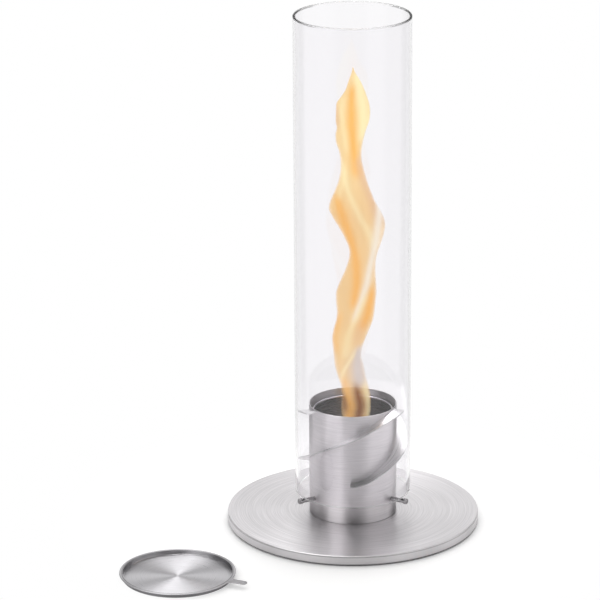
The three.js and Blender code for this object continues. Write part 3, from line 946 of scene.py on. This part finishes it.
def low_panels(recipe, x, y, room, front, key, right, back):
    """What stands round the object, as the steel shows it: pale panels and the dark between."""
    side = recipe.maths("ARCTAN2", x, -y) * DEGREES
    at_front = side.within(*FRONT_PANEL)
    at_key = side.within(*KEY_PANEL)
    low = (
        room
        + at_front * (front - room)
        + at_key * (key - room)
        + side.within(*RIGHT_PANEL) * (right - room)
        + abs(side).within(*DARK_GAP) * (-DARK_GAP_DEPTH * room)
        + abs(side).between(*BACKDROP_EDGE) * (back - room)
    )
    return low, at_front, at_key


def seen_in_steel(recipe):
    """1 for what the steel mirrors and 0 for what is seen straight, through or in the glass."""
    path = recipe.node("ShaderNodeLightPath").out
    mirrored = recipe.maths("MINIMUM", path("Glossy Depth"), 1)
    off_the_glass = path("Is Reflection Ray") * path("Is Singular Ray")
    # Light that turns inside the glass wall is mirrored once, and goes into the glass and out once.
    turned_once = recipe.maths("COMPARE", path("Glossy Depth"), 1, 0.5)
    in_the_wall = turned_once * recipe.maths("COMPARE", path("Transmission Depth"), 2, 0.5)
    return mirrored * (1 - off_the_glass * (1 - GLASS_SHEEN)) * (1 - in_the_wall)


def make_floor(studio):
    half, z = FLOOR_HALF, -FLOOR_DROP
    corners = [(-half, -half, z), (half, -half, z), (half, half, z), (-half, half, z)]
    mesh = bpy.data.meshes.new("floor")
    mesh.from_pydata(corners, [], [(0, 1, 2, 3)])
    made, recipe = material("Pale floor")
    path = recipe.node("ShaderNodeLightPath").out
    bent = recipe.maths("MAXIMUM", path("Is Glossy Ray"), path("Is Transmission Ray"))
    seen = recipe.maths("MAXIMUM", path("Is Camera Ray"), bent)
    shade = studio.floor + seen * (studio.floor_seen - studio.floor)
    paint = recipe.node("ShaderNodeBsdfDiffuse", {"Color": shade})
    x, y, _ = recipe.split(recipe.place())
    panels, _, _ = low_panels(recipe, x, y, **FLOOR_PANELS)
    in_steel = seen_in_steel(recipe)
    shown = 1 + in_steel * (panels - 1)
    white = recipe.node("ShaderNodeEmission", {"Color": shown, "Strength": 1.0})
    fade_from, fade_to = FLOOR_FADE
    distance = recipe.maths("SQRT", x * x + y * y)
    away = distance.between(fade_from, fade_to + FLOOR_FADE_IN_STEEL * in_steel)
    recipe.finish(recipe.node("ShaderNodeMixShader", {0: seen * away, 1: paint, 2: white}))
    mesh.materials.append(made)
    in_scene("floor", mesh)


def make_world(scene, studio):
    """White to the camera and through the glass; to the steel, a studio of pale and dark panels."""
    world = bpy.data.worlds.new("Studio")
    world.use_nodes = True
    scene.world = world
    recipe = Recipe(world.node_tree)
    x, y, z = recipe.split(recipe.place("Generated"))
    low, front, key = low_panels(
        recipe, x, y, studio.room, studio.front, studio.key_panel, studio.right_panel,
        studio.backdrop,
    )
    rise = recipe.maths("ARCSINE", z) * DEGREES - front * FRONT_HIGHER - key * KEY_HIGHER
    aside = recipe.maths("ARCSINE", x) * DEGREES - STRIP_MIDDLE
    strip = abs(aside).between(*STRIP_EDGE) * rise.between(*STRIP_START)
    strip = strip * (1 - rise.between(*STRIP_FADE) * STRIP_FADED)
    ceiling = studio.room + strip * (studio.overhead - studio.room)
    high = rise.between(*LOW_REACH)
    panels = low * (1 - high) + high * ceiling
    lit = recipe.node("ShaderNodeLightPath").out("Is Diffuse Ray")
    shown = 1 + seen_in_steel(recipe) * (panels - 1)
    strength = lit * (1 + y * studio.from_behind) * studio.ambient + (1 - lit) * shown
    light = recipe.node("ShaderNodeBackground", {"Color": (1, 1, 1), "Strength": strength})
    recipe.node("ShaderNodeOutputWorld", {"Surface": light})


# ---- Operators: one for each piece or group of like pieces ----


class MakeStage(bpy.types.Operator):
    """Camera at the photograph's angle, pale floor, soft lamps and a plain studio all round"""

    bl_idname = "fireplace.stage"
    bl_label = "Stage"

    def execute(self, context):
        scene, studio = context.scene, context.scene.fireplace_studio
        make_camera(scene)
        make_floor(studio)
        make_lamp("key", *KEY_LAMP, studio.key_power)
        make_lamp("top", *TOP_LAMP, studio.top_power)
        make_world(scene, studio)
        scene.view_settings.view_transform = "Standard"
        scene.cycles.transparent_max_bounces = 24
        scene.cycles.max_bounces = 16
        scene.cycles.transmission_bounces = 12
        return {"FINISHED"}


class MakeBase(bpy.types.Operator):
    """Base plate turned from solid steel, on its rubber mat, with its screws"""

    bl_idname = "fireplace.base"
    bl_label = "Base plate and mat"

    def execute(self, context):
        scene, finishes = context.scene, context.scene.fireplace_finishes
        bottom, top = ends_of("base_plate")
        # Painted shade on the plate's rim: a dark band just under the rounded top edge, the side
        # wall darker than the top, and a dark line at the foot.
        steel = brushed(
            "Plate steel", finishes.plate, "rings", roughness=0.38, anisotropy=0.6, contrast=0.22,
            edges=[("height", top - 0.7 * MM, top - 0.9 * MM, 0.5),
                   ("height", top - 1.7 * MM, top - 2.1 * MM, 1.6),
                   ("height", bottom + 1.6 * MM, bottom + 0.7 * MM, 0.4)],
        )
        plate = turned("plate", plate_profile(scene.fireplace_base))
        new_piece("plate", plate, steel, "base", ["base_plate"])
        finish_node("anti_slip_mat", moulded_rubber("Mat rubber", finishes.rubber))
        hardware = satin("Hardware steel", finishes.hardware, 0.35)
        for node in ("tube_floor", *numbered("base_screw"), *numbered("pin_nut")):
            finish_node(node, hardware)
        return {"FINISHED"}


class MakeTube(bpy.types.Operator):
    """Burner tube, brushed round and round, with a bright rounded rim"""

    bl_idname = "fireplace.tube"
    bl_label = "Burner tube"

    def execute(self, context):
        scene, finishes = context.scene, context.scene.fireplace_finishes
        foot, _ = ends_of("burner_tube")
        # Painted shade: the tube is painted darker over its lowest 20 mm, down to the plate.
        steel = brushed(
            "Tube steel", finishes.tube, "levels", roughness=0.36, anisotropy=0.92, contrast=0.14,
            edges=[("height", foot + 20 * MM, foot + 1 * MM, 0.86)],
        )
        tube = turned("tube", tube_profile(scene.fireplace_burner))
        new_piece("tube", tube, steel, "base", ["burner_tube"])
        return {"FINISHED"}


class MakeVanes(bpy.types.Operator):
    """Three spiral air vanes, swept round the tube by Geometry Nodes"""

    bl_idname = "fireplace.vanes"
    bl_label = "Air vanes"

    def execute(self, context):
        scene, finishes = context.scene, context.scene.fireplace_finishes
        sizes = scene.fireplace_vanes
        # Painted shade: a dark line along each vane's outer edge, and each vane painted darker near
        # its foot.
        steel = brushed(
            "Vane steel", finishes.vane, "rings", roughness=0.3, anisotropy=0.6, contrast=0.16,
            edges=[("distance", sizes.outer - 0.9 * MM, sizes.outer - 0.3 * MM, 0.65),
                   ("height", sizes.foot + 10 * MM, sizes.foot + 1 * MM, 0.5)],
        )
        values = {key: getattr(sizes, key) for key in VaneSizes.__annotations__}
        inner = scene.fireplace_burner.tube_radius - VANE_ROOT
        mesh = grown("vanes", vane_nodes, inner=inner, stops=VANE_STOPS, finish=steel, **values)
        new_piece("vanes", mesh, steel, "base", numbered("air_vane"))
        return {"FINISHED"}


class MakePins(bpy.types.Operator):
    """Rest pins with rounded heads, set round the tube by Geometry Nodes"""

    bl_idname = "fireplace.pins"
    bl_label = "Rest pins"

    def execute(self, context):
        scene, finishes = context.scene, context.scene.fireplace_finishes
        sizes, burner = scene.fireplace_pins, scene.fireplace_burner
        steel = satin("Pin steel", finishes.pin, 0.22)
        pin = in_scene("pins_pattern", pin_mesh(sizes, burner.tube_radius - 2 * burner.tube_wall))
        values = {"copies": sizes.copies, "start": sizes.start, "finish": steel}
        mesh = grown("pins", ring_nodes, pattern=pin, **values)
        bpy.data.objects.remove(pin)
        new_piece("pins", mesh, steel, "base", numbered("rest_pin"))
        return {"FINISHED"}


class MakeCan(bpy.types.Operator):
    """Fuel can with a rolled mouth, and the wool that holds the fuel"""

    bl_idname = "fireplace.can"
    bl_label = "Fuel can and wool"

    def execute(self, context):
        scene, finishes = context.scene, context.scene.fireplace_finishes
        _, top = ends_of("fuel_can")
        # Painted highlight: the can's lip is painted brighter than the can's wall.
        steel = brushed(
            "Can steel", finishes.can, "levels", roughness=0.28, anisotropy=0.7, contrast=0.25,
            edges=[("height", top - 2.0 * MM, top - 1.6 * MM, finishes.can_lip)],
        )
        can = turned("can", can_profile(scene.fireplace_burner))
        new_piece("can", can, steel, "can", ["fuel_can"])
        finish_node("wool_absorber", mineral_wool("Ceramic wool", finishes.wool))
        return {"FINISHED"}


class MakeGlass(bpy.types.Operator):
    """Open glass cylinder with melted rims"""

    bl_idname = "fireplace.glass"
    bl_label = "Glass cylinder"

    def execute(self, context):
        mesh = turned("glass", glass_profile(context.scene.fireplace_glass))
        mesh.shade_smooth()
        glass = clear_glass("Clear glass")
        new_piece("glass", mesh, glass, "glass", ["glass_cylinder"])
        return {"FINISHED"}


class MakeLid(bpy.types.Operator):
    """Snuffer lid, a shallow brushed dish with a flange and a finger tab"""

    bl_idname = "fireplace.lid"
    bl_label = "Snuffer lid"

    def execute(self, context):
        scene, finishes = context.scene, context.scene.fireplace_finishes
        sizes = scene.fireplace_lid
        wall = sizes.dish - sizes.sheet
        # Painted shade: the dish's inner wall is painted darker, its outer wall under the flange
        # much darker, and the flange and tab a little darker than the dish's floor.
        steel = brushed(
            "Lid steel", finishes.lid, "rings", roughness=0.34, anisotropy=0.97, contrast=0.12,
            edges=[("distance", wall - 1.2 * MM, wall - 0.4 * MM, 0.75),
                   ("distance", sizes.dish - 0.45 * MM, sizes.dish - 0.15 * MM, 0.45),
                   ("distance", sizes.dish, sizes.dish + 0.5 * MM, 2.5)],
            at=(sizes.centre_x, sizes.centre_y),
        )
        mesh = smooth(lid_mesh(sizes))
        new_piece("lid", mesh, steel, "lid", ["snuffer_lid"])
        return {"FINISHED"}


class MakeFlame(bpy.types.Operator):
    """The flame: thin glowing sheets that twist as they rise"""

    bl_idname = "fireplace.flame"
    bl_label = "Flame"

    def execute(self, context):
        flame = flame_mesh(context.scene.fireplace_finishes)
        new_piece("flame", flame, burning_gas("Flame"), "can")
        return {"FINISHED"}


PIECES = (
    MakeStage, MakeBase, MakeTube, MakeVanes, MakePins, MakeCan, MakeGlass, MakeLid, MakeFlame
)
SETTINGS = {
    "fireplace_base": BaseSizes,
    "fireplace_burner": BurnerSizes,
    "fireplace_vanes": VaneSizes,
    "fireplace_pins": PinSizes,
    "fireplace_glass": GlassSizes,
    "fireplace_lid": LidSizes,
    "fireplace_finishes": Finishes,
    "fireplace_studio": Studio,
}


class FireplacePanel(bpy.types.Panel):
    """Lists the pieces and their sizes"""

    bl_idname = "VIEW3D_PT_fireplace"
    bl_label = "Fireplace"
    bl_space_type = "VIEW_3D"
    bl_region_type = "UI"
    bl_category = "Fireplace"

    def draw(self, context):
        for piece in PIECES:
            self.layout.operator(piece.bl_idname)
        for name, group in SETTINGS.items():
            box = self.layout.box()
            box.label(text=group.__name__)
            for value in group.__annotations__:
                box.prop(getattr(context.scene, name), value)


def register():
    for group in (*SETTINGS.values(), *PIECES, FireplacePanel):
        bpy.utils.register_class(group)
    for name, group in SETTINGS.items():
        setattr(bpy.types.Scene, name, PointerProperty(type=group))


def unregister():
    for name in SETTINGS:
        delattr(bpy.types.Scene, name)
    for group in (FireplacePanel, *reversed(PIECES), *reversed(SETTINGS.values())):
        bpy.utils.unregister_class(group)


def main():
    register()
    for piece in PIECES:
        area, name = piece.bl_idname.split(".")
        getattr(getattr(bpy.ops, area), name)()


if __name__ == "__main__":
    main()
